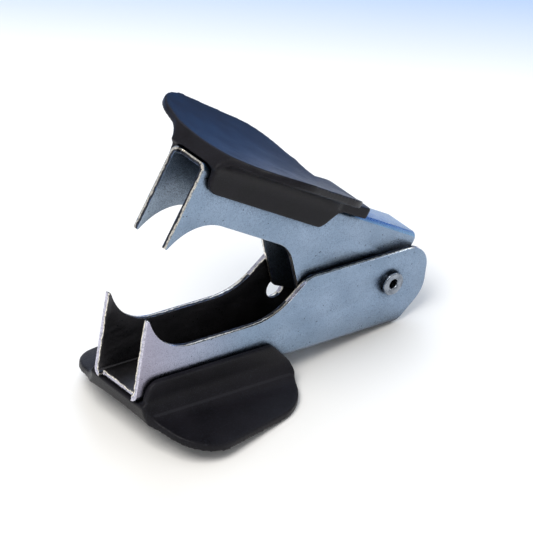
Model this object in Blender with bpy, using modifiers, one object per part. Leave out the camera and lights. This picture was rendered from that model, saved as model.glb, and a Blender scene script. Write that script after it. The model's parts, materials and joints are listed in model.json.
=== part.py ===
"""Two-jawed staple remover, standing open on its lower grip. Metres, +Z up.

The jaws open towards -Y and turn about a rivet near +Y. Each jaw is a sheet
steel channel with two fangs, and is drawn in its own jaw frame: X across the
channel, Y back from the fangs, Z from the outside of the web into the mouth.
"""
import bpy
import bmesh
from math import acos, atan2, cos, pi, radians, sin, sqrt, tan
from mathutils import Matrix, Vector

MM = 0.001
GAP = 0.3 * MM

# Sheet steel jaws
SHEET = 0.95 * MM
LOWER_WIDTH = 10.9 * MM
UPPER_WIDTH = 8.3 * MM
BEND_OUTSIDE = 1.25 * MM
BEND_INSIDE = BEND_OUTSIDE - SHEET
WEB_FRONT = 1.0 * MM
WEB_REAR = 54.0 * MM
FANG_HEIGHT = 15.5 * MM
FANG_LEAN = 0.55 * MM
FANG_TIP_RADIUS = 0.2 * MM
FANG_SLOPE = 2.02
WALL_DEPTH_LOWER = 8.0 * MM
WALL_DEPTH_UPPER = 8.6 * MM
NOTCH_RADIUS_LOWER = 10.5 * MM
NOTCH_RADIUS_UPPER = 9.5 * MM
WALL_TAPER = 0.1 * MM
LOWER_RISE_START = 27.2 * MM
LOWER_RISE_RADIUS = 12.0 * MM
LOWER_RISE_END = 34.0 * MM
LOWER_SHOULDER_RADIUS = 3.0 * MM
LOBE_REAR = 59.5 * MM
LOBE_HEIGHT = 13.9 * MM
LOBE_TOP_RADIUS = 4.2 * MM
LOBE_HEEL_Z = 5.2 * MM
LOBE_HEEL_RADIUS = 5.0 * MM
LOWER_WEB_END_RADIUS = 0.5 * MM
UPPER_RISE_START = 26.9 * MM
UPPER_RISE_RADIUS = 7.0 * MM
UPPER_LOBE_REACH = 16.1 * MM
UPPER_LOBE_TIP_RADIUS = 0.7 * MM
UPPER_STOP_END_RADIUS = 0.5 * MM
UPPER_HEEL = (57.3 * MM, 9.0 * MM, 2.0 * MM)
UPPER_WEB_REAR = 53.8 * MM
UPPER_WEB_END_Z = 5.0 * MM
UPPER_WEB_END_RADIUS = 1.0 * MM
UPPER_WEB_CORNER_RADIUS = 0.3 * MM
HOLE_Y = 35.8 * MM
HOLE_Z = 6.6 * MM
HOLE_RADIUS = 1.8 * MM

# Pivot
PIVOT_Y = 51.9 * MM
PIVOT_Z_LOWER = 8.5 * MM
PIVOT_Z_UPPER = 8.8 * MM
OPEN_ANGLE = radians(27.2)
CLOSED_ANGLE = radians(4.0)
STOP_RADIUS = PIVOT_Z_LOWER - SHEET - GAP
STOP_OVERHANG = 1.9 * MM
SHANK_RADIUS = 1.35 * MM
RIVET_BORE_RADIUS = 0.8 * MM
RIVET_HEAD_RADIUS = 2.05 * MM
RIVET_HEAD_THICKNESS = 0.6 * MM
BORE_RADIUS = SHANK_RADIUS + GAP

# Torsion spring
WIRE_RADIUS = 0.4 * MM
COIL_RADIUS = 2.55 * MM
COIL_PITCH = 0.95 * MM
COIL_FULL_TURNS = 3
STEPS_PER_TURN = 24
LEG_LENGTH = 15.0 * MM

# Moulded grips
GRIP_SIDE = 1.0 * MM
GRIP_DISH_DEPTH = 2.9 * MM
GRIP_DISH_CURVE = 8.2
WING_THICKNESS = 1.3 * MM
WING_FILLET = 3.6 * MM
FLANK_REACH_LOWER = 3.9 * MM
FLANK_REACH_UPPER = 3.8 * MM
BODY_FRONT = 0.4 * MM
PAD_FRONT = 1.3 * MM
PAD_BOW = 3.4 * MM
PAD_FRONT_HALF = 18.1 * MM
PAD_FRONT_RADIUS = 8.0 * MM
PAD_REAR = 28.2 * MM
PAD_REAR_HALF = 14.2 * MM
PAD_REAR_RADIUS = 8.7 * MM
BODY_REAR = 31.4 * MM
TONGUE_END = 40.0 * MM
TONGUE_END_RADIUS = 1.0 * MM
TONGUE_THICKNESS = 1.5 * MM
TONGUE_TAPER = 0.3 * MM
TONGUE_UNDERSIDE = 0.1 * MM
WAIST_RADIUS = 2.5 * MM
FLANK_CORNER_RADIUS = 2.0 * MM
FLANK_FRONT_RADIUS = 1.2 * MM
UPPER_FLANK_END = 29.5 * MM
UPPER_FLANK_FOOT = 33.3 * MM
LOWER_FLANK_END = 26.9 * MM
LOWER_FLANK_FOOT = 30.9 * MM
FLANK_END_RADIUS = 3.0 * MM
STEP_DOWN = 0.2 * MM
PAST_SURFACE = 0.2 * MM

# Drawing limits, past every face they cut
FAR = 25.0 * MM
CUT_START = -6.0 * MM
CUT_END = 66.0 * MM
ARC_STEP = radians(11)
FINE_ARC_STEP = radians(15)

# Colour, roughness and metallic value of each material
STEEL = ("nickel_plated_steel", (0.50, 0.58, 0.66), 0.3, 1.0)
PLASTIC = ("black_plastic", (0.012, 0.012, 0.014), 0.42, 0.0)
RIVET_STEEL = ("rivet_steel", (0.45, 0.46, 0.48), 0.25, 1.0)
SPRING_STEEL = ("spring_steel", (0.20, 0.20, 0.21), 0.35, 1.0)

PLANES = {
    "XY": Matrix.Identity(4),
    "XZ": Matrix(((1, 0, 0, 0), (0, 0, -1, 0), (0, 1, 0, 0), (0, 0, 0, 1))),
    "YZ": Matrix(((0, 0, 1, 0), (1, 0, 0, 0), (0, 1, 0, 0), (0, 0, 0, 1))),
}


def clear_scene():
    for obj in list(bpy.data.objects):
        bpy.data.objects.remove(obj, do_unlink=True)


def new_collection(name, parent):
    collection = bpy.data.collections.new(name)
    parent.children.link(collection)
    return collection


def make_material(name, colour, roughness, metallic):
    material = bpy.data.materials.new(name)
    material.use_nodes = True
    shader = material.node_tree.nodes["Principled BSDF"]
    shader.inputs["Base Color"].default_value = (*colour, 1.0)
    shader.inputs["Roughness"].default_value = roughness
    shader.inputs["Metallic"].default_value = metallic
    return material


def rounded(corners, step=ARC_STEP):
    """Outline through corners (a, b, radius), each radius drawn as an arc."""
    points = []
    for index, (a, b, radius) in enumerate(corners):
        corner = Vector((a, b))
        if radius == 0:
            points.append(corner)
            continue
        before = Vector(corners[index - 1][:2]) - corner
        after = Vector(corners[(index + 1) % len(corners)][:2]) - corner
        before.normalize()
        after.normalize()
        half = before.angle(after) / 2
        start = corner + before * radius / tan(half)
        centre = corner + (before + after).normalized() * radius / sin(half)
        turn = pi - 2 * half
        sense = 1 if before.cross(after) < 0 else -1
        count = max(1, round(turn / step))
        arm = start - centre
        for k in range(count + 1):
            angle = sense * turn * k / count
            swung = Vector((arm.x * cos(angle) - arm.y * sin(angle),
                            arm.x * sin(angle) + arm.y * cos(angle)))
            points.append(centre + swung)
    return points


def mesh_from_curve(curve_object, collection):
    """The curve as a welded mesh object in the same place; the curve goes."""
    bpy.context.view_layer.update()
    evaluated = curve_object.evaluated_get(bpy.context.evaluated_depsgraph_get())
    mesh = bpy.data.meshes.new_from_object(evaluated)
    shape = bmesh.new()
    shape.from_mesh(mesh)
    bmesh.ops.remove_doubles(shape, verts=shape.verts, dist=0.001 * MM)
    bmesh.ops.recalc_face_normals(shape, faces=shape.faces)
    shape.to_mesh(mesh)
    shape.free()
    name = curve_object.name
    place = curve_object.matrix_world.copy()
    bpy.data.objects.remove(curve_object, do_unlink=True)
    solid = bpy.data.objects.new(name, mesh)
    solid.matrix_world = place
    collection.objects.link(solid)
    return solid


def prism(name, outline, plane, low, high, collection):
    """A flat outline in one jaw plane, extruded from low to high across it."""
    curve = bpy.data.curves.new(name, "CURVE")
    curve.dimensions = "2D"
    curve.fill_mode = "BOTH"
    curve.extrude = (high - low) / 2
    spline = curve.splines.new("POLY")
    spline.points.add(len(outline) - 1)
    for point, place in zip(spline.points, outline):
        point.co = (place[0], place[1], 0, 1)
    spline.use_cyclic_u = True
    flat = bpy.data.objects.new(name, curve)
    middle = Matrix.Translation((0, 0, (low + high) / 2))
    flat.matrix_world = PLANES[plane] @ middle
    bpy.context.scene.collection.objects.link(flat)
    solid = mesh_from_curve(flat, collection)
    solid.data.transform(solid.matrix_world)
    solid.matrix_world = Matrix.Identity(4)
    return solid


def cylinder_across(name, y, z, radius, x_low, x_high, collection):
    """A cylinder along X in the jaw frame."""
    mesh = bpy.data.meshes.new(name)
    shape = bmesh.new()
    bmesh.ops.create_cone(shape, cap_ends=True, segments=32, radius1=radius,
                          radius2=radius, depth=x_high - x_low)
    turn = Matrix.Rotation(pi / 2, 4, "Y")
    place = Matrix.Translation(((x_low + x_high) / 2, y, z))
    bmesh.ops.transform(shape, matrix=place @ turn, verts=shape.verts)
    shape.to_mesh(mesh)
    shape.free()
    solid = bpy.data.objects.new(name, mesh)
    collection.objects.link(solid)
    return solid


def block(name, low, high, collection):
    """A box between two corners in the jaw frame."""
    mesh = bpy.data.meshes.new(name)
    shape = bmesh.new()
    bmesh.ops.create_cube(shape, size=1)
    size = Vector(high) - Vector(low)
    middle = (Vector(high) + Vector(low)) / 2
    bmesh.ops.scale(shape, vec=size, verts=shape.verts)
    bmesh.ops.translate(shape, vec=middle, verts=shape.verts)
    shape.to_mesh(mesh)
    shape.free()
    solid = bpy.data.objects.new(name, mesh)
    collection.objects.link(solid)
    return solid


def combine(solid, other, operation):
    """Live Boolean of a part with a hidden guide solid."""
    modifier = solid.modifiers.new(other.name, "BOOLEAN")
    modifier.operation = operation
    modifier.solver = "EXACT"
    modifier.object = other
    other.hide_render = True
    other.display_type = "WIRE"


def channel_section(width, outer_radius, top, step=FINE_ARC_STEP):
    """Outline of a solid block with the outside shape of a jaw's channel."""
    half = width / 2
    corners = [(-half, top, 0), (-half, 0, outer_radius), (half, 0, outer_radius), (half, top, 0)]
    return rounded(corners, step)


def sheet_section(width):
    """Outline of the bent sheet across a jaw."""
    half = width / 2
    inside = half - SHEET
    corners = [
        (-half, FAR, 0), (-half, 0, BEND_OUTSIDE), (half, 0, BEND_OUTSIDE), (half, FAR, 0),
        (inside, FAR, 0), (inside, SHEET, BEND_INSIDE), (-inside, SHEET, BEND_INSIDE),
        (-inside, FAR, 0),
    ]
    return rounded(corners, FINE_ARC_STEP)


def fang_corners(wall_depth, notch_radius):
    """The fang's tip and the hollow behind it, seen from the side."""
    notch_y = FANG_LEAN + (FANG_HEIGHT - wall_depth) / FANG_SLOPE
    return [
        (FANG_LEAN, FANG_HEIGHT, FANG_TIP_RADIUS),
        (notch_y, wall_depth, notch_radius),
    ]


def lower_side_outline():
    corners = [(0, 0, 0)]
    corners += fang_corners(WALL_DEPTH_LOWER, NOTCH_RADIUS_LOWER)
    corners += [
        (LOWER_RISE_START, WALL_DEPTH_LOWER + WALL_TAPER, LOWER_RISE_RADIUS),
        (LOWER_RISE_END, LOBE_HEIGHT + WALL_TAPER, LOWER_SHOULDER_RADIUS),
        (LOBE_REAR, LOBE_HEIGHT, LOBE_TOP_RADIUS),
        (LOBE_REAR, LOBE_HEEL_Z, LOBE_HEEL_RADIUS),
        (WEB_REAR, 0, LOWER_WEB_END_RADIUS),
    ]
    return rounded(corners)


def stop_chord(angle, along):
    """Point on the chord that lies flat on the lower web at this jaw angle."""
    y = PIVOT_Y + STOP_RADIUS * sin(angle) + along * cos(angle)
    z = PIVOT_Z_UPPER + STOP_RADIUS * cos(angle) - along * sin(angle)
    return y, z


def upper_side_outline():
    between = (OPEN_ANGLE + CLOSED_ANGLE) / 2
    meet = STOP_RADIUS / cos((OPEN_ANGLE - CLOSED_ANGLE) / 2)
    lobe_front = stop_chord(CLOSED_ANGLE, -UPPER_LOBE_REACH)
    stop_rear = stop_chord(OPEN_ANGLE, STOP_OVERHANG)
    corners = [(0, 0, 0)]
    corners += fang_corners(WALL_DEPTH_UPPER, NOTCH_RADIUS_UPPER)
    corners += [
        (UPPER_RISE_START, WALL_DEPTH_UPPER, UPPER_RISE_RADIUS),
        (*lobe_front, UPPER_LOBE_TIP_RADIUS),
        (PIVOT_Y + meet * sin(between), PIVOT_Z_UPPER + meet * cos(between), STOP_RADIUS),
        (*stop_rear, UPPER_STOP_END_RADIUS),
        UPPER_HEEL,
        (UPPER_WEB_REAR, UPPER_WEB_END_Z, UPPER_WEB_END_RADIUS),
        (UPPER_WEB_REAR, 0, UPPER_WEB_CORNER_RADIUS),
    ]
    return rounded(corners)


def make_jaw(name, width, side_outline, pivot_z, parts, cutters):
    """A fanged channel: the bent sheet kept inside its side outline."""
    half = width / 2
    jaw = prism(name, sheet_section(width), "XZ", -CUT_END, -CUT_START, parts)
    side = prism(name + "_side", side_outline, "YZ", -FAR, FAR, cutters)
    combine(jaw, side, "INTERSECT")
    notch_half = half - BEND_OUTSIDE
    notch = block(name + "_web_notch", (-notch_half, CUT_START, -GAP),
                  (notch_half, WEB_FRONT, SHEET + GAP), cutters)
    combine(jaw, notch, "DIFFERENCE")
    bore = cylinder_across(name + "_bore", PIVOT_Y, pivot_z, BORE_RADIUS, -FAR, FAR, cutters)
    combine(jaw, bore, "DIFFERENCE")
    return jaw


def bow(x):
    """Front edge of the pad at this distance from the middle."""
    return PAD_FRONT + PAD_BOW * (x / PAD_FRONT_HALF) ** 2


def pad_outline(body_half, tongue_end):
    """Plan outline of a grip: the flared pad and what runs back along the web."""
    past_front = BODY_FRONT - MM
    right = [(body_half, past_front, 0)]
    bow_start = body_half + 0.5 * MM
    bow_end = PAD_FRONT_HALF * 0.5
    bow_steps = 4
    for k in range(bow_steps + 1):
        across = bow_start + (bow_end - bow_start) * k / bow_steps
        right.append((across, bow(across), 0))
    right += [
        (PAD_FRONT_HALF, PAD_FRONT + PAD_BOW, PAD_FRONT_RADIUS),
        (PAD_REAR_HALF, PAD_REAR, PAD_REAR_RADIUS),
        (body_half, BODY_REAR, WAIST_RADIUS),
        (body_half, tongue_end, TONGUE_END_RADIUS),
    ]
    left = [(-x, y, radius) for x, y, radius in reversed(right)]
    return rounded(right + left)


def dish(x):
    """Distance of the pad's dished outer face from the web."""
    return GRIP_DISH_DEPTH + GRIP_DISH_CURVE * x * x


def grip_section(body_half, reach):
    """Outline across a grip: dished pad, thin wings, filleted flanks."""
    steps = 8
    wing_end = PAD_FRONT_HALF + 1.0 * MM
    fillet_end = body_half + WING_FILLET
    outer = []
    inner = []
    for k in range(steps + 1):
        x = wing_end * k / steps
        outer.append((x, -dish(x), 0))
    for k in range(steps):
        x = wing_end + (fillet_end - wing_end) * k / steps
        inner.append((x, -dish(x) + WING_THICKNESS, 0))
    root = -dish(body_half) + WING_THICKNESS
    inner.append((body_half, root, WING_FILLET))
    inner.append((body_half, reach + MM, 0))
    right = outer + inner
    left = [(-x, z, radius) for x, z, radius in reversed(right) if x > 0]
    return rounded(right + left, FINE_ARC_STEP)


def grip_side_outline(reach, tongue_end, has_tongue):
    """Side limits of a grip: how far its flanks reach down the walls."""
    corners = [
        (PAD_FRONT, -FAR, 0),
        (PAD_FRONT, -GRIP_DISH_DEPTH - PAST_SURFACE, 0),
        (BODY_FRONT, 0, 0),
        (BODY_FRONT, reach * 0.9, FLANK_FRONT_RADIUS),
    ]
    if has_tongue:
        corners += [
            (4.0 * MM, reach, FLANK_CORNER_RADIUS),
            (UPPER_FLANK_END, reach, FLANK_END_RADIUS),
            (UPPER_FLANK_FOOT, TONGUE_UNDERSIDE, FLANK_CORNER_RADIUS),
            (tongue_end + MM, TONGUE_UNDERSIDE, 0),
            (tongue_end + MM, -TONGUE_THICKNESS + TONGUE_TAPER, 0),
        ]
    else:
        corners += [
            (LOWER_FLANK_END, reach, FLANK_CORNER_RADIUS),
            (LOWER_FLANK_FOOT, 0, FLANK_END_RADIUS),
        ]
    rear_slope = PAD_REAR + 0.8 * MM
    corners += [
        (BODY_REAR, -TONGUE_THICKNESS - STEP_DOWN, 0.5 * MM),
        (rear_slope, -2.1 * GRIP_DISH_DEPTH, 0),
        (rear_slope, -FAR, 0),
    ]
    return rounded(corners)


def make_grip(name, width, reach, tongue_end, has_tongue, parts, cutters):
    """A moulded grip round the outside of a jaw's web."""
    half = width / 2
    body_half = half + GAP + GRIP_SIDE
    grip = prism(name, grip_section(body_half, reach), "XZ", -CUT_END, -CUT_START, parts)
    plan_outline = pad_outline(body_half + PAST_SURFACE, tongue_end)
    plan = prism(name + "_plan", plan_outline, "XY", -FAR, FAR, cutters)
    combine(grip, plan, "INTERSECT")
    side = prism(name + "_side", grip_side_outline(reach, tongue_end, has_tongue), "YZ",
                 -FAR, FAR, cutters)
    combine(grip, side, "INTERSECT")
    room = [(x, z - GAP) for x, z in channel_section(width + 2 * GAP, BEND_OUTSIDE + GAP, FAR)]
    seat = prism(name + "_seat", room, "XZ", -CUT_END, -CUT_START, cutters)
    combine(grip, seat, "DIFFERENCE")
    return grip


def ring_profile():
    """Half section of the hollow rivet, from its top head round to the bore."""
    half = LOWER_WIDTH / 2 + GAP
    top = half + RIVET_HEAD_THICKNESS
    outside = [
        (RIVET_BORE_RADIUS + 0.15 * MM, top, 0),
        (RIVET_HEAD_RADIUS, top, 0.35 * MM),
        (RIVET_HEAD_RADIUS, half, 0),
        (SHANK_RADIUS, half, 0),
        (SHANK_RADIUS, -half, 0),
        (RIVET_HEAD_RADIUS, -half, 0),
        (RIVET_HEAD_RADIUS, -top, 0.35 * MM),
        (RIVET_BORE_RADIUS + 0.15 * MM, -top, 0),
        (RIVET_BORE_RADIUS, -top + 0.25 * MM, 0),
        (RIVET_BORE_RADIUS, top - 0.25 * MM, 0),
    ]
    return rounded(outside, radians(30))


def make_rivet(name, parts):
    """The hollow rivet, turned about its own Z axis."""
    profile = ring_profile()
    mesh = bpy.data.meshes.new(name)
    edges = [(k, (k + 1) % len(profile)) for k in range(len(profile))]
    mesh.from_pydata([(radius, 0, z) for radius, z in profile], edges, [])
    rivet = bpy.data.objects.new(name, mesh)
    parts.objects.link(rivet)
    screw = rivet.modifiers.new("turn", "SCREW")
    screw.steps = 32
    screw.render_steps = 32
    screw.use_merge_vertices = True
    screw.merge_threshold = 0.001 * MM
    return rivet


def leg_slope(height):
    """Slope that brings a tangent leg's tip to this height from the pivot."""
    reach = sqrt(COIL_RADIUS ** 2 + LEG_LENGTH ** 2)
    return atan2(LEG_LENGTH, COIL_RADIUS) - acos(height / reach)


def spring_route():
    """Centre line of the torsion spring in the lower jaw's frame."""
    rest = SHEET + GAP + WIRE_RADIUS
    lower_slope = leg_slope(PIVOT_Z_LOWER - rest)
    upper_slope = leg_slope(PIVOT_Z_UPPER - rest) + OPEN_ANGLE
    start = lower_slope - pi / 2
    sweep = pi - lower_slope - upper_slope + 2 * pi * COIL_FULL_TURNS
    turns = sweep / (2 * pi)
    steps = round(turns * STEPS_PER_TURN)
    centre = Vector((0, PIVOT_Y, PIVOT_Z_LOWER))
    first_x = -COIL_PITCH * turns / 2
    coil = []
    for k in range(steps + 1):
        angle = start + sweep * k / steps
        x = first_x + COIL_PITCH * turns * k / steps
        coil.append(centre + Vector((x, COIL_RADIUS * cos(angle), COIL_RADIUS * sin(angle))))
    lower_tip = coil[0] + LEG_LENGTH * Vector((0, -cos(lower_slope), -sin(lower_slope)))
    upper_tip = coil[-1] + LEG_LENGTH * Vector((0, -cos(upper_slope), sin(upper_slope)))
    return [lower_tip] + coil + [upper_tip]


def make_spring(name, parts):
    """A round wire along the spring's centre line."""
    curve = bpy.data.curves.new(name, "CURVE")
    curve.dimensions = "3D"
    curve.bevel_depth = WIRE_RADIUS
    curve.bevel_resolution = 2
    curve.use_fill_caps = True
    route = spring_route()
    spline = curve.splines.new("POLY")
    spline.points.add(len(route) - 1)
    for point, place in zip(spline.points, route):
        point.co = (*place, 1)
    spring = bpy.data.objects.new(name, curve)
    parts.objects.link(spring)
    return spring


def make_empty(name, collection):
    empty = bpy.data.objects.new(name, None)
    empty.empty_display_size = 5 * MM
    collection.objects.link(empty)
    return empty


def stand_on_ground(frame, parts):
    """Moves the frame so that the parts stand centred on the origin."""
    bpy.context.view_layer.update()
    graph = bpy.context.evaluated_depsgraph_get()
    points = []
    for obj in parts.objects:
        if obj.type == "EMPTY":
            continue
        evaluated = obj.evaluated_get(graph)
        mesh = evaluated.to_mesh()
        points += [evaluated.matrix_world @ vertex.co for vertex in mesh.vertices]
        evaluated.to_mesh_clear()
    ys = [point.y for point in points]
    frame.location.y -= (min(ys) + max(ys)) / 2
    frame.location.z -= min(point.z for point in points)


def finish_part(obj, material, parent):
    obj.data.materials.clear()
    obj.data.materials.append(material)
    obj.parent = parent
    if obj.type == "MESH":
        obj.data.shade_smooth()
        obj.data.set_sharp_from_angle(angle=radians(35))


def resting_pitch():
    """Lean that brings the lower pad's rear edge and the web's end level."""
    contact_y = PAD_REAR - 2.4 * MM
    return atan2(dish(PAD_REAR_HALF), WEB_REAR - contact_y)


def build():
    clear_scene()
    top = bpy.context.scene.collection
    parts = new_collection("staple_remover", top)
    cutters = new_collection("cutters", top)
    lower_cutters = new_collection("lower_cutters", cutters)
    upper_cutters = new_collection("upper_cutters", cutters)
    steel = make_material(*STEEL)
    plastic = make_material(*PLASTIC)
    rivet_steel = make_material(*RIVET_STEEL)
    spring_steel = make_material(*SPRING_STEEL)

    lower_frame = make_empty("lower_jaw_frame", parts)
    lower_frame.rotation_euler.x = -resting_pitch()
    pivot = make_empty("jaw_pivot_frame", parts)
    pivot.parent = lower_frame
    pivot.location = (0, PIVOT_Y, PIVOT_Z_LOWER)
    pivot.rotation_euler.x = -OPEN_ANGLE
    upper_frame = make_empty("upper_jaw_frame", parts)
    upper_frame.parent = pivot
    upper_frame.location = (0, -PIVOT_Y, PIVOT_Z_UPPER)
    upper_frame.rotation_euler.y = pi

    lower_jaw = make_jaw("lower_jaw", LOWER_WIDTH, lower_side_outline(), PIVOT_Z_LOWER,
                         parts, lower_cutters)
    hole = cylinder_across("side_hole", HOLE_Y, HOLE_Z, HOLE_RADIUS, -FAR, 0, lower_cutters)
    combine(lower_jaw, hole, "DIFFERENCE")
    lower_grip = make_grip("lower_grip", LOWER_WIDTH, FLANK_REACH_LOWER, TONGUE_END, False,
                           parts, lower_cutters)
    rivet = make_rivet("pivot_rivet", parts)
    rivet.location = (0, PIVOT_Y, PIVOT_Z_LOWER)
    rivet.rotation_euler.y = pi / 2
    spring = make_spring("torsion_spring", parts)

    upper_jaw = make_jaw("upper_jaw", UPPER_WIDTH, upper_side_outline(), PIVOT_Z_UPPER,
                         parts, upper_cutters)
    upper_grip = make_grip("upper_grip", UPPER_WIDTH, FLANK_REACH_UPPER, TONGUE_END, True,
                           parts, upper_cutters)

    finish_part(lower_jaw, steel, lower_frame)
    finish_part(lower_grip, plastic, lower_frame)
    finish_part(rivet, rivet_steel, lower_frame)
    finish_part(spring, spring_steel, lower_frame)
    finish_part(upper_jaw, steel, upper_frame)
    finish_part(upper_grip, plastic, upper_frame)
    for cutter in lower_cutters.objects:
        cutter.parent = lower_frame
    for cutter in upper_cutters.objects:
        cutter.parent = upper_frame
    stand_on_ground(lower_frame, parts)


build()
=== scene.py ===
"""Looks of a staple remover that stands open on its lower grip. Metres, +Z up.

Every piece is drawn finer than the CAD part it stands for, in its jaw's own
frame: X across the channel, Y back from the fangs, Z from the outside of the
web into the mouth.
"""

import json
from math import acos, atan2, cos, hypot, pi, radians, sin, tan

import bmesh
import bpy
from mathutils import Matrix, Vector


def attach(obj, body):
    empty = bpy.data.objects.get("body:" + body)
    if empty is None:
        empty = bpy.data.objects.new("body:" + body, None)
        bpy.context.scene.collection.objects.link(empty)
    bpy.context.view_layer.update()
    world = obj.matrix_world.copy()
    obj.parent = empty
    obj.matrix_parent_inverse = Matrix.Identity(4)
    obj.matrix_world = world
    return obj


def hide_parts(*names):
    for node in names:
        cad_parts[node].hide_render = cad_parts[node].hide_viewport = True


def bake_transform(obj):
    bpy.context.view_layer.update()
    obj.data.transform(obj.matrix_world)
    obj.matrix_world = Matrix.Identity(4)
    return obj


MM = 0.001
GAP = 0.3 * MM

# Sheet steel jaws
SHEET = 0.95 * MM
LOWER_WIDTH = 10.9 * MM
UPPER_WIDTH = 8.3 * MM
BEND_OUTSIDE = 1.25 * MM
BEND_INSIDE = BEND_OUTSIDE - SHEET
WEB_FRONT = 1.0 * MM
WEB_REAR = 54.0 * MM
FANG_HEIGHT = 15.5 * MM
FANG_LEAN = 0.55 * MM
FANG_TIP_RADIUS = 0.2 * MM
FANG_SLOPE = 2.02
WEB_NOTCH_RADIUS = 0.3 * MM
WALL_DEPTH_LOWER = 8.0 * MM
WALL_DEPTH_UPPER = 8.6 * MM
NOTCH_RADIUS_LOWER = 10.5 * MM
NOTCH_RADIUS_UPPER = 9.5 * MM
WALL_TAPER = 0.1 * MM
LOWER_RISE_START = 27.2 * MM
LOWER_RISE_RADIUS = 12.0 * MM
LOWER_RISE_END = 34.0 * MM
LOWER_SHOULDER_RADIUS = 3.0 * MM
LOBE_REAR = 59.48 * MM
LOBE_HEIGHT = 13.9 * MM
LOBE_TOP_RADIUS = 4.2 * MM
LOBE_HEEL_Z = 5.2 * MM
LOBE_HEEL_RADIUS = 5.0 * MM
LOWER_WEB_END_RADIUS = 0.5 * MM
UPPER_RISE_START = 26.9 * MM
UPPER_RISE_RADIUS = 7.0 * MM
UPPER_LOBE_REACH = 16.1 * MM
UPPER_LOBE_TIP_RADIUS = 0.7 * MM
UPPER_STOP_END_RADIUS = 0.5 * MM
UPPER_HEEL = (57.3 * MM, 9.0 * MM, 2.0 * MM)
UPPER_WEB_REAR = 53.8 * MM
UPPER_WEB_END_Z = 5.0 * MM
UPPER_WEB_END_RADIUS = 1.0 * MM
UPPER_WEB_CORNER_RADIUS = 0.3 * MM
HOLE_Y = 35.8 * MM
HOLE_Z = 6.6 * MM
HOLE_RADIUS = 1.8 * MM
EDGE_BEVEL = 0.07 * MM
EDGE_BEVEL_ANGLE = radians(35)
FRONT_TRIM = 0.004 * MM

# Pivot
PIVOT_Y = 51.9 * MM
PIVOT_Z_LOWER = 8.5 * MM
PIVOT_Z_UPPER = 8.8 * MM
STANDING_PITCH = radians(9.172368)
OPEN_ANGLE = radians(27.2)
CLOSED_ANGLE = radians(4.0)
STOP_RADIUS = PIVOT_Z_LOWER - SHEET - GAP
STOP_OVERHANG = 1.9 * MM
SHANK_RADIUS = 1.35 * MM
BORE_RADIUS = SHANK_RADIUS + GAP
RIVET_BORE_RADIUS = 0.8 * MM
RIVET_HEAD_RADIUS = 2.05 * MM
RIVET_HEAD_THICKNESS = 0.6 * MM
RIVET_MOUTH_RADIUS = 0.42 * MM
RIVET_MOUTH_DEPTH = 0.5 * MM
RIVET_ROLL_RADIUS = 0.288 * MM
RIVET_UNDERCUT_RADIUS = 0.2592 * MM
RIVET_STEPS = 96
RIVET_LOBES = 6
RIVET_LOBE_DEPTH = 0.025

# Torsion spring
WIRE_RADIUS = 0.4 * MM
WIRE_CHAMFER = 0.12 * MM
COIL_RADIUS = 2.55 * MM
COIL_PITCH = 0.95 * MM
COIL_FULL_TURNS = 3
STEPS_PER_TURN = 72
WIRE_SIDES = 20
LEG_LENGTH = 15.0 * MM
LEG_STEPS = 30

# Moulded grips
GRIP_SIDE = 1.0 * MM
GRIP_DISH_DEPTH = 2.9 * MM
GRIP_DISH_CURVE = 8.2
GRIP_SECTION_STEPS = 32
WING_THICKNESS = 1.3 * MM
WING_FILLET = 3.6 * MM
WING_OVERRUN = 1.0 * MM
FLANK_REACH_LOWER = 3.9 * MM
FLANK_REACH_UPPER = 3.8 * MM
BODY_FRONT = 0.4 * MM
BODY_REAR = 31.4 * MM
PAD_FRONT = 1.3 * MM
PAD_BOW = 3.4 * MM
PAD_BOW_SHARE = 0.62
PAD_BOW_STEPS = 16
PAD_FRONT_HALF = 18.05 * MM
PAD_FRONT_RADIUS = 8.0 * MM
PAD_REAR = 28.2 * MM
PAD_REAR_HALF = 14.2 * MM
PAD_REAR_RADIUS_LOWER = 8.7 * MM
PAD_REAR_RADIUS_UPPER = 7.4 * MM
WAIST_UPPER = 30.0 * MM
WAIST_RADIUS = 2.8 * MM
REAR_SLOPE = 0.8 * MM
REAR_SLOPE_TOP = 2.1 * GRIP_DISH_DEPTH
TONGUE_END = 39.2 * MM
TONGUE_END_RADIUS = 1.0 * MM
TONGUE_UNDERSIDE = 0.1 * MM
TONGUE_FRONT = 32.2 * MM
TONGUE_FRONT_THICKNESS = 1.65 * MM
TONGUE_FRONT_RADIUS = 3.5 * MM
TONGUE_REAR_THICKNESS = 1.9 * MM
LOWER_REAR_THICKNESS = 1.7 * MM
LOWER_REAR_RADIUS = 0.5 * MM
DIP_CENTRE = (0, 33.5 * MM, -6.75 * MM)
DIP_RADII = (13.0 * MM, 6.5 * MM, 5.0 * MM)
FLANK_FRONT = 1.1 * MM
FLANK_FRONT_LEAN = 0.4 * MM
FLANK_FRONT_RADIUS = 2.6 * MM
FLANK_CORNER_RADIUS = 2.0 * MM
LOWER_FLANK_END = 26.9 * MM
LOWER_FLANK_FOOT = 30.9 * MM
LOWER_FLANK_FOOT_RADIUS = 3.0 * MM
UPPER_FLANK_END = 30.0 * MM
UPPER_FLANK_FOOT = 32.6 * MM
UPPER_FLANK_FOOT_RADIUS = 1.6 * MM
LIP_RADIUS = 0.3 * MM
LIP_STEP = 0.2 * MM
SHOULDER = 0.05 * MM
PAST_SURFACE = 0.2 * MM
GRIP_VOXEL = 0.175 * MM
GRIP_SMOOTHING = 14

# Camera, its target and the side on which the surroundings turn blue
AIM = Vector((0.843, 0.23, 19.263)) * MM
CAMERA_DISTANCE = 850.48 * MM
CAMERA_AZIMUTH = 51.623
CAMERA_ELEVATION = 35.113
CAMERA_ROLL = radians(-0.492)
CAMERA_LENS = 357.70
BLUE_SIDE = Vector((-0.68, 0.73, 0))
LIGHT_DISTANCE = 0.6
FLOOR_HALF = 3.0

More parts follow.
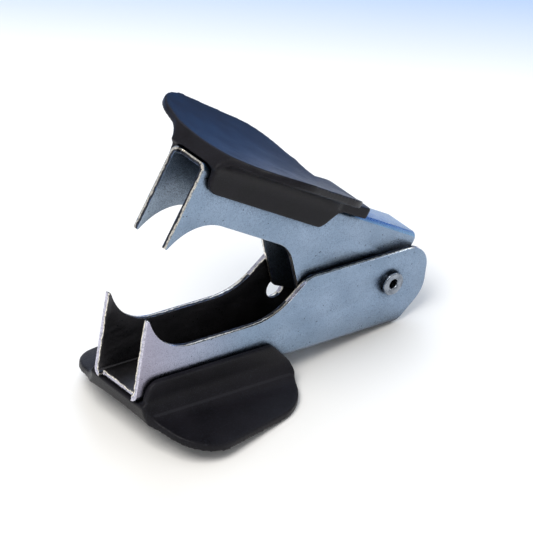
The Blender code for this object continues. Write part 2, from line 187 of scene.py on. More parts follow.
# World Y between which the fangs' tint fades out
TINT_FULL = -29.0 * MM
TINT_NONE = -8.0 * MM

# Faces larger than this, square to an axis of the jaw, are shaded flat
FLAT_AREA = 0.3 * MM * MM
SQUARE_TO_AXIS = 0.999

# Material slots of a jaw
OUTSIDE, INSIDE, CUT, CUT_FRONT, WEB = range(5)

# Drawing limits, past every face they cut, and the steps that round shapes take
FAR = 25.0 * MM
CUT_START = -6.0 * MM
CUT_END = 66.0 * MM
ARC_STEP = radians(4)
BEND_ARC_STEP = radians(9)
CIRCLE_STEPS = 96


def rounded(corners, step=ARC_STEP):
    """Outline through corners (a, b, radius), each radius drawn as an arc."""
    points = []
    for index, (a, b, radius) in enumerate(corners):
        corner = Vector((a, b))
        if radius == 0:
            points.append(corner)
            continue
        before = Vector(corners[index - 1][:2]) - corner
        after = Vector(corners[(index + 1) % len(corners)][:2]) - corner
        before.normalize()
        after.normalize()
        half = before.angle(after) / 2
        start = corner + before * radius / tan(half)
        centre = corner + (before + after).normalized() * radius / sin(half)
        turn = pi - 2 * half
        sense = 1 if before.cross(after) < 0 else -1
        count = max(1, round(turn / step))
        arm = start - centre
        for k in range(count + 1):
            points.append(centre + Matrix.Rotation(sense * turn * k / count, 2) @ arm)
    return points


def new_object(name, shape):
    """The bmesh as an object in the scene; the bmesh goes."""
    bmesh.ops.recalc_face_normals(shape, faces=shape.faces)
    mesh = bpy.data.meshes.new(name)
    shape.to_mesh(mesh)
    shape.free()
    made = bpy.data.objects.new(name, mesh)
    bpy.context.scene.collection.objects.link(made)
    return made


def prism(name, outline, place, low, high):
    """A flat outline of (a, b), drawn out from low to high by place(a, b, along)."""
    shape = bmesh.new()
    first = [shape.verts.new(place(a, b, low)) for a, b in outline]
    last = [shape.verts.new(place(a, b, high)) for a, b in outline]
    shape.faces.new(first)
    shape.faces.new(last)
    for k in range(len(outline)):
        n = (k + 1) % len(outline)
        shape.faces.new((first[k], first[n], last[n], last[k]))
    return new_object(name, shape)


def from_front(x, z, along):
    return Vector((x, along, z))


def from_side(y, z, along):
    return Vector((along, y, z))


def from_above(x, y, along):
    return Vector((x, y, along))


def ellipsoid(name, centre, radii):
    shape = bmesh.new()
    bmesh.ops.create_uvsphere(shape, u_segments=CIRCLE_STEPS, v_segments=CIRCLE_STEPS // 2, radius=1)
    bmesh.ops.scale(shape, vec=radii, verts=shape.verts)
    bmesh.ops.translate(shape, vec=centre, verts=shape.verts)
    return new_object(name, shape)


def circle(y, z, radius):
    turns = [2 * pi * k / CIRCLE_STEPS for k in range(CIRCLE_STEPS)]
    return [Vector((y + radius * cos(t), z + radius * sin(t))) for t in turns]


def settle(obj):
    """Replaces the object's mesh by what its modifiers make of it."""
    bpy.context.view_layer.update()
    graph = bpy.context.evaluated_depsgraph_get()
    mesh = bpy.data.meshes.new_from_object(obj.evaluated_get(graph))
    obj.modifiers.clear()
    obj.data = mesh


def combine(solid, other, operation):
    """Boolean of a piece with another solid, which is used up."""
    modifier = solid.modifiers.new("cut", "BOOLEAN")
    modifier.operation = operation
    modifier.solver = "EXACT"
    modifier.object = other
    settle(solid)
    bpy.data.objects.remove(other, do_unlink=True)


# Jaws

def sheet_section(width):
    """Outline of the bent sheet across a jaw."""
    half = width / 2
    inside = half - SHEET
    corners = [
        (-half, FAR, 0), (-half, 0, BEND_OUTSIDE), (half, 0, BEND_OUTSIDE), (half, FAR, 0),
        (inside, FAR, 0), (inside, SHEET, BEND_INSIDE), (-inside, SHEET, BEND_INSIDE),
        (-inside, FAR, 0),
    ]
    return rounded(corners, BEND_ARC_STEP)


def fang_corners(wall_depth, notch_radius):
    """The fang's tip and the hollow behind it, seen from the side."""
    notch_y = FANG_LEAN + (FANG_HEIGHT - wall_depth) / FANG_SLOPE
    return [(FANG_LEAN, FANG_HEIGHT, FANG_TIP_RADIUS), (notch_y, wall_depth, notch_radius)]


def lower_side_outline():
    corners = [(0, 0, 0)]
    corners += fang_corners(WALL_DEPTH_LOWER, NOTCH_RADIUS_LOWER)
    corners += [
        (LOWER_RISE_START, WALL_DEPTH_LOWER + WALL_TAPER, LOWER_RISE_RADIUS),
        (LOWER_RISE_END, LOBE_HEIGHT + WALL_TAPER, LOWER_SHOULDER_RADIUS),
        (LOBE_REAR, LOBE_HEIGHT, LOBE_TOP_RADIUS),
        (LOBE_REAR, LOBE_HEEL_Z, LOBE_HEEL_RADIUS),
        (WEB_REAR, 0, LOWER_WEB_END_RADIUS),
    ]
    return rounded(corners)


def stop_chord(angle, along):
    """Point on the chord that lies flat on the lower web at this jaw angle."""
    y = PIVOT_Y + STOP_RADIUS * sin(angle) + along * cos(angle)
    z = PIVOT_Z_UPPER + STOP_RADIUS * cos(angle) - along * sin(angle)
    return y, z


def upper_side_outline():
    between = (OPEN_ANGLE + CLOSED_ANGLE) / 2
    meet = STOP_RADIUS / cos((OPEN_ANGLE - CLOSED_ANGLE) / 2)
    lobe_front = stop_chord(CLOSED_ANGLE, -UPPER_LOBE_REACH)
    stop_rear = stop_chord(OPEN_ANGLE, STOP_OVERHANG)
    corners = [(0, 0, 0)]
    corners += fang_corners(WALL_DEPTH_UPPER, NOTCH_RADIUS_UPPER)
    corners += [
        (UPPER_RISE_START, WALL_DEPTH_UPPER, UPPER_RISE_RADIUS),
        (*lobe_front, UPPER_LOBE_TIP_RADIUS),
        (PIVOT_Y + meet * sin(between), PIVOT_Z_UPPER + meet * cos(between), STOP_RADIUS),
        (*stop_rear, UPPER_STOP_END_RADIUS),
        UPPER_HEEL,
        (UPPER_WEB_REAR, UPPER_WEB_END_Z, UPPER_WEB_END_RADIUS),
        (UPPER_WEB_REAR, 0, UPPER_WEB_CORNER_RADIUS),
    ]
    return rounded(corners)


def sheet_depth(width, x, z):
    """Depth below the channel's outer face, and that face's normal, at a point."""
    flat = width / 2 - BEND_OUTSIDE
    side = 1 if x > 0 else -1
    if z > BEND_OUTSIDE:
        return width / 2 - abs(x), Vector((side, 0, 0))
    if abs(x) < flat:
        return z, Vector((0, 0, -1))
    arm = Vector((x - side * flat, 0, z - BEND_OUTSIDE))
    return BEND_OUTSIDE - arm.length, arm.normalized()


def dress_sheet(jaw, width, materials):
    """Gives each face its material slot, and each point its depth through the sheet."""
    mesh = jaw.data
    mesh.materials.clear()
    for material in materials:
        mesh.materials.append(material)
    depth = mesh.attributes.new("depth", "FLOAT", "POINT")
    for k, vertex in enumerate(mesh.vertices):
        below = sheet_depth(width, vertex.co.x, vertex.co.z)[0]
        depth.data[k].value = min(1, max(0, below / SHEET))
    for face in mesh.polygons:
        below, outward = sheet_depth(width, face.center.x, face.center.z)
        if abs(face.normal.dot(outward)) < 0.8:
            face.material_index = CUT_FRONT if face.normal.y < -0.6 else CUT
        elif below > SHEET / 2:
            face.material_index = INSIDE
        else:
            face.material_index = WEB if outward.z < -0.5 else OUTSIDE


def make_jaw(name, width, side_outline, pivot_z, hole, materials, to_world):
    """A fanged channel of bent sheet with its edges broken."""
    jaw = prism(name, sheet_section(width), from_front, CUT_START, CUT_END)
    combine(jaw, prism("side", side_outline, from_side, -FAR, FAR), "INTERSECT")
    notch_half = width / 2 - BEND_OUTSIDE
    notch = rounded([(-notch_half, CUT_START, 0), (notch_half, CUT_START, 0),
                     (notch_half, WEB_FRONT, WEB_NOTCH_RADIUS),
                     (-notch_half, WEB_FRONT, WEB_NOTCH_RADIUS)])
    combine(jaw, prism("notch", notch, from_above, -GAP, SHEET + GAP), "DIFFERENCE")
    bore = circle(PIVOT_Y, pivot_z, BORE_RADIUS)
    combine(jaw, prism("bore", bore, from_side, -FAR, FAR), "DIFFERENCE")
    if hole:
        combine(jaw, prism("hole", hole, from_side, -FAR, 0), "DIFFERENCE")
    bevel = jaw.modifiers.new("broken_edges", "BEVEL")
    bevel.width = EDGE_BEVEL
    bevel.segments = 2
    bevel.limit_method = "ANGLE"
    bevel.angle_limit = EDGE_BEVEL_ANGLE
    bevel.use_clamp_overlap = False
    settle(jaw)
    for vertex in jaw.data.vertices:
        vertex.co.y = max(vertex.co.y, FRONT_TRIM)
    dress_sheet(jaw, width, materials)
    finish_piece(jaw, to_world, 40)
    return jaw


def finish_piece(obj, to_world, sharp_degrees):
    """Puts a piece in its place, smooth but for its sharp edges and its large flats."""
    faces = obj.data.polygons
    flats = [abs(max(face.normal, key=abs)) > SQUARE_TO_AXIS and face.area > FLAT_AREA
             for face in faces]
    obj.data.transform(to_world)
    for face, flat in zip(faces, flats):
        face.use_smooth = not flat
    obj.data.set_sharp_from_angle(angle=radians(sharp_degrees))


# Grips

def bow(x):
    """Front edge of the pad at this distance from the middle."""
    return PAD_FRONT + PAD_BOW * (x / PAD_FRONT_HALF) ** 2


def pad_outline(body_half, rear_radius, waist):
    """Plan outline of a grip: the flared pad and what runs back along the web."""
    right = [(body_half - SHOULDER, BODY_FRONT - MM, 0)]
    bow_end = PAD_FRONT_HALF * PAD_BOW_SHARE
    set_back = PAD_FRONT - BODY_FRONT
    for k in range(PAD_BOW_STEPS + 1):
        share = k / PAD_BOW_STEPS
        across = body_half + (bow_end - body_half) * share
        right.append((across, bow(across) - set_back * (1 - share) ** 2, 0))
    right += [
        (PAD_FRONT_HALF, PAD_FRONT + PAD_BOW, PAD_FRONT_RADIUS),
        (PAD_REAR_HALF, PAD_REAR, rear_radius),
        (body_half, waist, WAIST_RADIUS),
        (body_half, TONGUE_END, TONGUE_END_RADIUS),
    ]
    left = [(-x, y, radius) for x, y, radius in reversed(right)]
    return rounded(right + left)


def dish(x):
    """Distance of the pad's dished outer face from the web."""
    return GRIP_DISH_DEPTH + GRIP_DISH_CURVE * x * x


def grip_section(body_half, reach):
    """Outline across a grip: dished pad, thin wings, filleted flanks."""
    wing_end = PAD_FRONT_HALF + WING_OVERRUN
    fillet_end = body_half + WING_FILLET
    outer = []
    inner = []
    for k in range(GRIP_SECTION_STEPS + 1):
        x = wing_end * k / GRIP_SECTION_STEPS
        outer.append((x, -dish(x), 0))
    for k in range(GRIP_SECTION_STEPS):
        x = wing_end + (fillet_end - wing_end) * k / GRIP_SECTION_STEPS
        inner.append((x, -dish(x) + WING_THICKNESS, 0))
    root = -dish(body_half) + WING_THICKNESS
    inner.append((body_half, root, WING_FILLET))
    inner.append((body_half, reach + MM, 0))
    right = outer + inner
    left = [(-x, z, radius) for x, z, radius in reversed(right) if x > 0]
    return rounded(right + left)


def grip_side_outline(reach, has_tongue):
    """Side limits of a grip: how far its flanks reach down the walls."""
    corners = [
        (PAD_FRONT, -FAR, 0),
        (PAD_FRONT, -GRIP_DISH_DEPTH - LIP_STEP, 0),
        (BODY_FRONT, -LIP_RADIUS, LIP_RADIUS),
        (FLANK_FRONT, LIP_RADIUS, LIP_RADIUS),
        (FLANK_FRONT + FLANK_FRONT_LEAN, reach, FLANK_FRONT_RADIUS),
    ]
    if has_tongue:
        corners += [
            (UPPER_FLANK_END, reach, FLANK_CORNER_RADIUS),
            (UPPER_FLANK_FOOT, TONGUE_UNDERSIDE, UPPER_FLANK_FOOT_RADIUS),
            (TONGUE_END + MM, TONGUE_UNDERSIDE, 0),
            (TONGUE_END + MM, -TONGUE_REAR_THICKNESS, 0),
            (TONGUE_FRONT, -TONGUE_FRONT_THICKNESS, TONGUE_FRONT_RADIUS),
        ]
    else:
        corners += [
            (LOWER_FLANK_END, reach, FLANK_CORNER_RADIUS),
            (LOWER_FLANK_FOOT, 0, LOWER_FLANK_FOOT_RADIUS),
            (BODY_REAR, -LOWER_REAR_THICKNESS, LOWER_REAR_RADIUS),
        ]
    corners += [
        (PAD_REAR + REAR_SLOPE, -REAR_SLOPE_TOP, 0),
        (PAD_REAR + REAR_SLOPE, -FAR, 0),
    ]
    return rounded(corners)


def make_grip(name, width, reach, has_tongue, material, to_world):
    """A moulded grip round the outside of a jaw's web, its edges softened by the remesh."""
    half = width / 2
    body_half = half + GAP + GRIP_SIDE
    grip = prism(name, grip_section(body_half, reach), from_front, CUT_START, CUT_END)
    past_body = body_half + PAST_SURFACE
    if has_tongue:
        plan = pad_outline(past_body, PAD_REAR_RADIUS_UPPER, WAIST_UPPER)
    else:
        plan = pad_outline(past_body, PAD_REAR_RADIUS_LOWER, BODY_REAR)
    combine(grip, prism("plan", plan, from_above, -FAR, FAR), "INTERSECT")
    side = grip_side_outline(reach, has_tongue)
    combine(grip, prism("side", side, from_side, -FAR, FAR), "INTERSECT")
    room = half + GAP
    seat = [(-room, FAR, 0), (-room, -GAP, BEND_OUTSIDE), (room, -GAP, BEND_OUTSIDE), (room, FAR, 0)]
    combine(grip, prism("seat", rounded(seat), from_front, CUT_START, CUT_END), "DIFFERENCE")
    if has_tongue:
        combine(grip, ellipsoid("dip", DIP_CENTRE, DIP_RADII), "DIFFERENCE")
    remesh = grip.modifiers.new("even_skin", "REMESH")
    remesh.mode = "VOXEL"
    remesh.voxel_size = GRIP_VOXEL
    soften = grip.modifiers.new("moulded_edges", "SMOOTH")
    soften.factor = 0.5
    soften.iterations = GRIP_SMOOTHING
    settle(grip)
    grip.data.materials.clear()
    grip.data.materials.append(material)
    finish_piece(grip, to_world, 60)
    return grip


# Rivet and spring

def rivet_profile():
    """Half section of the hollow rivet (radius, along) with rolled heads."""
    seat = LOWER_WIDTH / 2 + GAP
    top = seat + RIVET_HEAD_THICKNESS
    end = [
        (RIVET_BORE_RADIUS, seat - RIVET_MOUTH_DEPTH, 0),
        (RIVET_BORE_RADIUS, top, RIVET_MOUTH_RADIUS),
        (RIVET_HEAD_RADIUS, top, RIVET_ROLL_RADIUS),
        (RIVET_HEAD_RADIUS, seat, RIVET_UNDERCUT_RADIUS),
        (SHANK_RADIUS, seat, 0),
    ]
    other = [(radius, -along, bend) for radius, along, bend in reversed(end)]
    return rounded(end + other, BEND_ARC_STEP)


def make_rivet(name, material, to_world):
    """The hollow rivet, whose rolled rim has faint flats from the setting tool."""
    profile = rivet_profile()
    shape = bmesh.new()
    rings = []
    for k in range(RIVET_STEPS):
        angle = 2 * pi * k / RIVET_STEPS
        ring = []
        for radius, along in profile:
            swell = (radius - RIVET_BORE_RADIUS) / (RIVET_HEAD_RADIUS - RIVET_BORE_RADIUS)
            flat = 1 - RIVET_LOBE_DEPTH * swell * (1 - cos(RIVET_LOBES * angle)) / 2
            r = radius * flat
            place = (along, PIVOT_Y + r * cos(angle), PIVOT_Z_LOWER + r * sin(angle))
            ring.append(shape.verts.new(place))
        rings.append(ring)
    for k in range(RIVET_STEPS):
        here = rings[k]
        there = rings[(k + 1) % RIVET_STEPS]
        for i in range(len(profile)):
            j = (i + 1) % len(profile)
            shape.faces.new((here[i], here[j], there[j], there[i]))
    rivet = new_object(name, shape)
    rivet.data.materials.append(material)
    finish_piece(rivet, to_world, 60)
    return rivet


def leg_slope(height):
    """Slope that brings a tangent leg's tip to this height from the pivot."""
    reach = hypot(COIL_RADIUS, LEG_LENGTH)
    return atan2(LEG_LENGTH, COIL_RADIUS) - acos(height / reach)


def spring_route():
    """Centre line of the torsion spring in the lower jaw's frame."""
    rest = SHEET + GAP + WIRE_RADIUS
    lower_slope = leg_slope(PIVOT_Z_LOWER - rest)
    upper_slope = leg_slope(PIVOT_Z_UPPER - rest) + OPEN_ANGLE
    start = lower_slope - pi / 2
    sweep = pi - lower_slope - upper_slope + 2 * pi * COIL_FULL_TURNS
    turns = sweep / (2 * pi)
    steps = round(turns * STEPS_PER_TURN)
    centre = Vector((0, PIVOT_Y, PIVOT_Z_LOWER))
    first_x = -COIL_PITCH * turns / 2
    coil = []
    for k in range(steps + 1):
        angle = start + sweep * k / steps
        x = first_x + COIL_PITCH * turns * k / steps
        coil.append(centre + Vector((x, COIL_RADIUS * cos(angle), COIL_RADIUS * sin(angle))))
    lower_leg = Vector((0, -cos(lower_slope), -sin(lower_slope)))
    upper_leg = Vector((0, -cos(upper_slope), sin(upper_slope)))
    leg = [LEG_LENGTH * k / LEG_STEPS for k in range(1, LEG_STEPS + 1)]
    first = [coil[0] + lower_leg * along for along in reversed(leg)]
    last = [coil[-1] + upper_leg * along for along in leg]
    return first + coil + last


def make_spring(name, material, to_world):
    """A round wire along the spring's centre line, its cut ends chamfered."""
    route = spring_route()
    first = (route[1] - route[0]).normalized()
    last = (route[-1] - route[-2]).normalized()
    tip = WIRE_RADIUS - WIRE_CHAMFER
    stations = [(route[0], tip), (route[0] + first * WIRE_CHAMFER, WIRE_RADIUS)]
    stations += [(point, WIRE_RADIUS) for point in route[1:-1]]
    stations += [(route[-1] - last * WIRE_CHAMFER, WIRE_RADIUS), (route[-1], tip)]
    shape = bmesh.new()
    side = Vector((1, 0, 0))
    rings = []
    for k, (point, radius) in enumerate(stations):
        before = stations[max(k - 1, 0)][0]
        after = stations[min(k + 1, len(stations) - 1)][0]
        along = (after - before).normalized()
        side = (side - along * side.dot(along)).normalized()
        other = along.cross(side)
        ring = []
        for i in range(WIRE_SIDES):
            angle = 2 * pi * i / WIRE_SIDES
            ring.append(shape.verts.new(point + (side * cos(angle) + other * sin(angle)) * radius))
        rings.append(ring)
    for here, there in zip(rings, rings[1:]):
        for i in range(WIRE_SIDES):
            j = (i + 1) % WIRE_SIDES
            shape.faces.new((here[i], here[j], there[j], there[i]))
    shape.faces.new(rings[0])
    shape.faces.new(rings[-1])
    spring = new_object(name, shape)
    spring.data.materials.append(material)
    finish_piece(spring, to_world, 50)
    return spring


# Materials

class Nodes:
    """The node tree of a material or the world, built a node at a time."""

    def __init__(self, owner, coordinates):
        self.owner = owner
        self.owner.use_nodes = True
        self.tree = owner.node_tree
        self.place = self.add("ShaderNodeTexCoord").outputs[coordinates]

    def add(self, kind, **settings):
        node = self.tree.nodes.new(kind)
        for key, value in settings.items():
            setattr(node, key, value)
        return node

    def link(self, source, target):
        self.tree.links.new(source, target)

    def noise(self, scale, detail=2.0, stretch=None):
        """Noise with about this many features to the metre."""
        node = self.add("ShaderNodeTexNoise")
        node.inputs["Scale"].default_value = scale
        node.inputs["Detail"].default_value = detail
        source = self.place
        if stretch:
            mapping = self.add("ShaderNodeMapping")
            mapping.inputs["Scale"].default_value = stretch
            self.link(source, mapping.inputs["Vector"])
            source = mapping.outputs["Vector"]
        self.link(source, node.inputs["Vector"])
        return node.outputs["Fac"]

    def spread(self, source, low, high, to_low, to_high):
        """The source rescaled from one range to another, and kept inside it."""
        node = self.add("ShaderNodeMapRange")
        node.inputs["From Min"].default_value = low
        node.inputs["From Max"].default_value = high
        node.inputs["To Min"].default_value = to_low
        node.inputs["To Max"].default_value = to_high
        self.link(source, node.inputs["Value"])
        return node.outputs["Result"]

    def vary(self, noise, to_low, to_high):
        """Noise rescaled from the range it mostly keeps to."""
        return self.spread(noise, 0.3, 0.7, to_low, to_high)

    def along(self, axis):
        """How far the place lies along an axis."""
        node = self.add("ShaderNodeVectorMath", operation="DOT_PRODUCT")
        node.inputs[1].default_value = axis
        self.link(self.place, node.inputs[0])
        return node.outputs["Value"]

    def ramp(self, source, stops):
        """A colour for each value of the source, from (position, colour) stops."""
        node = self.add("ShaderNodeValToRGB")
        band = node.color_ramp.elements
        band[0].position, band[0].color = stops[0][0], (*stops[0][1], 1)
        band[1].position, band[1].color = stops[-1][0], (*stops[-1][1], 1)
        for position, colour in stops[1:-1]:
            band.new(position).color = (*colour, 1)
        self.link(source, node.inputs["Fac"])
        return node.outputs["Color"]

    def mix(self, share, one, other, blend="MIX"):
        """Two colours mixed by a share, each a socket or a fixed colour."""
        node = self.add("ShaderNodeMix", data_type="RGBA", blend_type=blend)
        for socket, value in ((node.inputs[0], share), (node.inputs[6], one), (node.inputs[7], other)):
            if isinstance(value, bpy.types.NodeSocket):
                self.link(value, socket)
            else:
                socket.default_value = (*value, 1) if isinstance(value, tuple) else value
        return node.outputs[2]

    def maths(self, operation, one, other):
        """Two values added or multiplied, each a socket or a fixed value."""
        node = self.add("ShaderNodeMath", operation=operation)
        for socket, value in zip(node.inputs, (one, other)):
            if isinstance(value, bpy.types.NodeSocket):
                self.link(value, socket)
            else:
                socket.default_value = value
        return node.outputs["Value"]

    def wear(self, low, high):
        """From 0 on flats to 1 on convex edges of a finely meshed piece."""
        return self.spread(self.add("ShaderNodeNewGeometry").outputs["Pointiness"], low, high, 0, 1)

    def edge(self, reach):
        """From 0 on flats to 1 within this reach of an edge, whatever the mesh."""
        rounded_off = self.add("ShaderNodeBevel")
        rounded_off.inputs["Radius"].default_value = reach
        turned = self.add("ShaderNodeVectorMath", operation="DOT_PRODUCT")
        self.link(rounded_off.outputs["Normal"], turned.inputs[0])
        self.link(self.add("ShaderNodeNewGeometry").outputs["Normal"], turned.inputs[1])
        return self.spread(turned.outputs["Value"], 0.85, 0.99, 1, 0)

    def bump(self, height, distance, strength=1.0, under=None):
        node = self.add("ShaderNodeBump")
        node.inputs["Distance"].default_value = distance
        node.inputs["Strength"].default_value = strength
        self.link(height, node.inputs["Height"])
        if under:
            self.link(under, node.inputs["Normal"])
        return node.outputs["Normal"]

    def surface(self, colour, roughness, normal, metallic=0.0, specular=0.5):
        """The finished material, once its shader is set."""
        shader = self.tree.nodes["Principled BSDF"]
        self.link(colour, shader.inputs["Base Color"])
        self.link(roughness, shader.inputs["Roughness"])
        self.link(normal, shader.inputs["Normal"])
        shader.inputs["Metallic"].default_value = metallic
        shader.inputs["Specular IOR Level"].default_value = specular
        return self.owner


def material_nodes(name):
    return Nodes(bpy.data.materials.new(name), "Object")


def plated_steel(name, dark, light, rough_low, rough_high, fang_tint=None, shade_reach=3.0 * MM):
    """Satin nickel over rolled sheet: cloudy tone, fine speckle, stray pits, wiped streaks, and
    painted shade near other surfaces.

    A tint, if given, stands in for what the fangs mirror, and fades out behind them.
    """
    n = material_nodes(name)
    speckle = n.noise(5200, 2)
    tone = n.ramp(n.noise(140, 3), [(0.3, dark), (0.7, light)])
    if fang_tint:
        tint_share = n.spread(n.along((0, 1, 0)), TINT_FULL, TINT_NONE, 0.9, 0)
        tone = n.mix(tint_share, tone, fang_tint)
    grain = n.spread(speckle, 0.3, 0.567, 0.8, 1.0)
    shade = n.mix(1.0, tone, grain, "MULTIPLY")
    pits = n.add("ShaderNodeTexVoronoi")
    pits.inputs["Scale"].default_value = 700
    n.link(n.place, pits.inputs["Vector"])
    pitted = n.spread(pits.outputs["Distance"], 0.05, 0.11, 1, 0)
    shade = n.mix(pitted, shade, tuple(0.25 * c for c in dark))
    patchy = n.spread(n.noise(1500, 3), 0.35, 0.6, 0, 0.8)
    worn = n.maths("MULTIPLY", n.edge(0.14 * MM), patchy)
    shade = n.mix(worn, shade, (0.92, 0.90, 0.85))
    # Painted shade: darker within the given reach of other surfaces, broken up by the speckle.
    close = n.add("ShaderNodeAmbientOcclusion", samples=8)
    close.inputs["Distance"].default_value = shade_reach
    openness = n.maths("ADD", close.outputs["AO"], n.vary(speckle, -0.15, 0.15))
    painted_shade = n.spread(openness, 0.35, 0.95, 0.85, 0)
    shade = n.mix(painted_shade, shade, tuple(0.15 * c for c in dark))
    streaks = n.noise(420, 3, (3.0, 0.35, 3.0))
    rough = n.maths("ADD", n.vary(streaks, rough_low, rough_high), n.vary(speckle, -0.04, 0.06))
    normal = n.bump(n.noise(900, 3), 0.012 * MM, 0.5)
    normal = n.bump(speckle, 0.004 * MM, 0.6, normal)
    return n.surface(shade, rough, normal, metallic=1.0)


def cut_edge(name, bands):
    """Sheared sheet: bands of (depth through the sheet, colour), with a ragged border."""
    n = material_nodes(name)
    depth = n.add("ShaderNodeAttribute", attribute_name="depth").outputs["Fac"]
    ragged = n.maths("ADD", depth, n.vary(n.noise(900, 4), -0.16, 0.16))
    stained = n.spread(n.noise(2600, 2), 0.45, 0.65, 0, 0.5)
    tone = n.mix(stained, n.ramp(ragged, bands), (0.12, 0.13, 0.16))
    rough = n.spread(ragged, 0.2, 0.7, 0.22, 0.55)
    score = n.noise(2600, 2, (1.0, 1.0, 0.2))
    return n.surface(tone, rough, n.bump(score, 0.03 * MM, 0.7), metallic=1.0, specular=0.4)


def moulded_plastic(name):
    """Satin black moulding: fine grain, faint flow, and convex edges lightened partly by handling wear
    and partly as a painted highlight.
    """
    n = material_nodes(name)
    grain = n.noise(6800, 2)
    flow = n.noise(160, 3)
    tone = n.ramp(flow, [(0.3, (0.005, 0.0045, 0.006)), (0.7, (0.010, 0.009, 0.012))])
    tone = n.mix(n.spread(grain, 0.55, 0.75, 0, 0.8), tone, (0.024, 0.027, 0.038))
    # Lighter convex edges: partly handling wear, partly a painted highlight.
    tone = n.mix(n.maths("MULTIPLY", n.wear(0.5, 0.62), 0.35), tone, (0.03, 0.03, 0.036))
    rough = n.maths("ADD", n.vary(flow, 0.30, 0.42), n.vary(grain, -0.05, 0.08))
    normal = n.bump(flow, 0.03 * MM, 0.3)
    normal = n.bump(grain, 0.03 * MM, 1.0, normal)
    return n.surface(tone, rough, normal, specular=0.12)


def rolled_steel(name, dark, light, rough_low, rough_high):
    """Turned or drawn steel with light marks from its forming."""
    n = material_nodes(name)
    tone = n.ramp(n.noise(900, 4), [(0.3, dark), (0.72, light)])
    tone = n.mix(n.maths("MULTIPLY", n.wear(0.52, 0.62), 0.5), tone, (0.85, 0.85, 0.84))
    rough = n.vary(n.noise(2400, 3), rough_low, rough_high)
    return n.surface(tone, rough, n.bump(n.noise(3200, 3), 0.012 * MM, 0.6), metallic=1.0)


def floor_finish(name):
    """Pale matt card with a faint tooth, that turns blue far behind the object."""
    n = material_nodes(name)
    tone = n.ramp(n.noise(18, 3), [(0.3, (0.93, 0.92, 0.90)), (0.7, (0.95, 0.94, 0.92))])
    behind = n.spread(n.along(BLUE_SIDE), 0.085, 0.14, 0, 1)
    tone = n.mix(behind, tone, (0.06, 0.29, 0.84))
    rough = n.vary(n.noise(60, 2), 0.55, 0.65)
    return n.surface(tone, rough, n.bump(n.noise(2200, 2), 0.01 * MM, 0.3))


# Scene

def make_floor():
    shape = bmesh.new()
    for x, y in ((-1, -1), (1, -1), (1, 1), (-1, 1)):
        shape.verts.new((x * FLOOR_HALF, y * FLOOR_HALF, 0))
    shape.faces.new(shape.verts)
    floor = new_object("floor", shape)
    floor.data.materials.append(floor_finish("pale_floor"))


def direction(azimuth, elevation):
    """Unit vector from the object towards this azimuth and elevation in degrees."""
    a = radians(azimuth)
    e = radians(elevation)
    return Vector((sin(a) * cos(e), -cos(a) * cos(e), sin(e)))


def area_light(name, azimuth, elevation, size, power, colour):
    """A soft rectangular light that faces the object from this direction."""
    data = bpy.data.lights.new(name, "AREA")
    data.shape = "RECTANGLE"
    data.size, data.size_y = size
    data.energy = power
    data.color = colour
    lamp = bpy.data.objects.new(name, data)
    back = direction(azimuth, elevation)
    lamp.location = AIM + back * LIGHT_DISTANCE
    lamp.rotation_mode = "QUATERNION"
    lamp.rotation_quaternion = (-back).to_track_quat("-Z", "Y")
    bpy.context.scene.collection.objects.link(lamp)


def make_camera():
    data = bpy.data.cameras.new("camera")
    data.lens = CAMERA_LENS
    data.sensor_width = 36.0
    data.clip_start = 0.05
    data.clip_end = 20.0
    camera = bpy.data.objects.new("camera", data)
    back = direction(CAMERA_AZIMUTH, CAMERA_ELEVATION)
    level = direction(CAMERA_AZIMUTH + 90, 0)
    rise = back.cross(level)
    right = level * cos(CAMERA_ROLL) + rise * sin(CAMERA_ROLL)
    up = rise * cos(CAMERA_ROLL) - level * sin(CAMERA_ROLL)
    place = AIM + back * CAMERA_DISTANCE
    camera.matrix_world = Matrix((
        (right.x, up.x, back.x, place.x), (right.y, up.y, back.y, place.y),
        (right.z, up.z, back.z, place.z), (0, 0, 0, 1)))
    bpy.context.scene.collection.objects.link(camera)
    bpy.context.scene.camera = camera


def make_sky():
    """A pale surround that turns blue low down behind the object."""
    n = Nodes(bpy.data.worlds.new("studio"), "Generated")
    pale_side = Vector((0, 0, 1)) - BLUE_SIDE / 2
    pale_share = n.spread(n.along(pale_side), -0.5, -0.05, 0, 1)
    background = n.tree.nodes["Background"]
    background.inputs["Strength"].default_value = 0.6
    n.link(n.mix(pale_share, (0.05, 0.16, 0.55), (0.95, 0.97, 1.0)), background.inputs["Color"])
    bpy.context.scene.world = n.owner


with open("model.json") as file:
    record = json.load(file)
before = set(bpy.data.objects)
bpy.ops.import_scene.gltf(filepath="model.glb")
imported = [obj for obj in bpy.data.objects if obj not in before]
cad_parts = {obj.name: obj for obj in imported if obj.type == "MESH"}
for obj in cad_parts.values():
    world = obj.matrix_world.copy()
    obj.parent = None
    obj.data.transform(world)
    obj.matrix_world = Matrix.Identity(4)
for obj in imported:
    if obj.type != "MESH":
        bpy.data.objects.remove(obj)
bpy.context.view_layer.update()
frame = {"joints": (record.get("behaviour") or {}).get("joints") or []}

pivot = Matrix.Translation(frame["joints"][0]["pos_m"])
LOWER = (pivot @ Matrix.Rotation(-STANDING_PITCH, 4, "X")
         @ Matrix.Translation((0, -PIVOT_Y, -PIVOT_Z_LOWER)))
UPPER = (pivot @ Matrix.Rotation(-STANDING_PITCH - OPEN_ANGLE, 4, "X")
         @ Matrix.Translation((0, -PIVOT_Y, PIVOT_Z_UPPER)) @ Matrix.Rotation(pi, 4, "Y"))

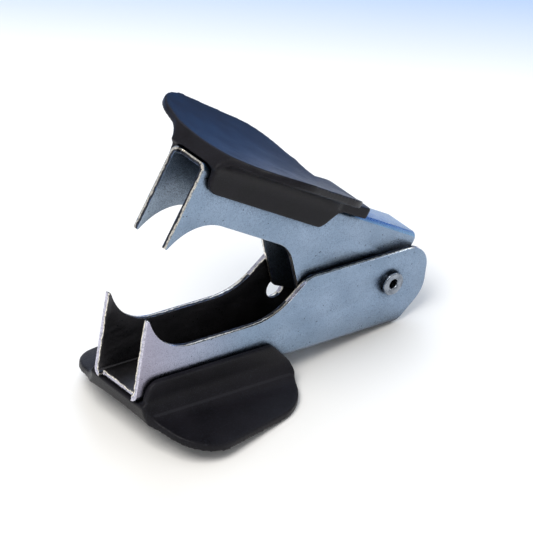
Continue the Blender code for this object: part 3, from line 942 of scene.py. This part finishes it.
# The web's blue and the lower channel's dark inside stand in for what they mirror
nickel = ((0.21, 0.285, 0.39), (0.29, 0.375, 0.50), 0.26, 0.38)
outer_steel = plated_steel("nickel_plate", *nickel)
fang_steel = plated_steel("nickel_plate_fangs", *nickel, fang_tint=(0.43, 0.40, 0.50))
# Painted light and shade: the upper channel's inside is the same plating in a lighter tone, as a
# painted reflection, with painted shade reaching 9 mm into it.
inner_steel = plated_steel("nickel_plate_inside", (0.27, 0.34, 0.43), (0.42, 0.50, 0.61), 0.32, 0.44,
                           shade_reach=9.0 * MM)
web_steel = plated_steel("nickel_plate_web", (0.13, 0.27, 0.46), (0.20, 0.37, 0.58), 0.24, 0.34)
shaded_steel = plated_steel("nickel_plate_shaded", (0.07, 0.068, 0.073), (0.15, 0.145, 0.155),
                            0.36, 0.48)
# Painted light on the cut edges, over their own burnished and fracture bands: the near-white bands are
# painted highlights, the near-black bands painted shade, the blue band next to the inside a painted
# reflection, and the fang fronts' lavender a painted reflection too.
sheared = cut_edge("sheared_edge", [
    (0.0, (0.40, 0.46, 0.55)), (0.12, (1.0, 0.95, 0.84)), (0.42, (0.95, 0.89, 0.78)),
    (0.54, (0.03, 0.03, 0.035)), (0.9, (0.04, 0.045, 0.06)), (1.0, (0.10, 0.16, 0.30))])
cut_front_sheen = cut_edge("fang_front_cut_sheen", [
    (0.0, (0.62, 0.60, 0.70)), (0.62, (0.55, 0.54, 0.64)), (0.72, (1.0, 0.95, 0.84)),
    (0.86, (0.90, 0.84, 0.72)), (0.94, (0.05, 0.05, 0.06)), (1.0, (0.04, 0.04, 0.05))])
plastic = moulded_plastic("black_moulding")

lower_jaw = make_jaw("lower_jaw_sheet", LOWER_WIDTH, lower_side_outline(), PIVOT_Z_LOWER,
                     circle(HOLE_Y, HOLE_Z, HOLE_RADIUS),
                     (fang_steel, shaded_steel, sheared, cut_front_sheen, outer_steel), LOWER)
upper_jaw = make_jaw("upper_jaw_sheet", UPPER_WIDTH, upper_side_outline(), PIVOT_Z_UPPER,
                     None, (outer_steel, inner_steel, sheared, sheared, web_steel), UPPER)
lower_grip = make_grip("lower_thumb_grip", LOWER_WIDTH, FLANK_REACH_LOWER, False, plastic, LOWER)
upper_grip = make_grip("upper_thumb_grip", UPPER_WIDTH, FLANK_REACH_UPPER, True, plastic, UPPER)
rivet_metal = rolled_steel("rivet_metal", (0.13, 0.15, 0.18), (0.36, 0.39, 0.44), 0.2, 0.34)
rivet = make_rivet("hollow_rivet", rivet_metal, LOWER)
spring_wire = rolled_steel("spring_wire", (0.10, 0.10, 0.11), (0.24, 0.24, 0.26), 0.28, 0.42)
spring = make_spring("coil_spring", spring_wire, LOWER)

for piece, body, node, slot in (
        (lower_jaw, "lower", "lower_jaw", "nickel_plated_steel"),
        (upper_jaw, "upper", "upper_jaw", "nickel_plated_steel"),
        (lower_grip, "lower", "lower_grip", "black_plastic"),
        (upper_grip, "upper", "upper_grip", "black_plastic"),
        (rivet, "lower", "pivot_rivet", "rivet_steel"),
        (spring, None, "torsion_spring", "spring_steel")):
    if body:
        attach(piece, body)
    else:
        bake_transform(piece)
    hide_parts(node)

make_floor()
make_sky()
area_light("key", 20, 62, (0.35, 0.35), 2.7, (1.0, 0.975, 0.93))
area_light("blue_back", 215, 45, (0.5, 0.3), 1.1, (0.60, 0.75, 1.0))
make_camera()
bpy.context.scene.view_settings.view_transform = "Standard"
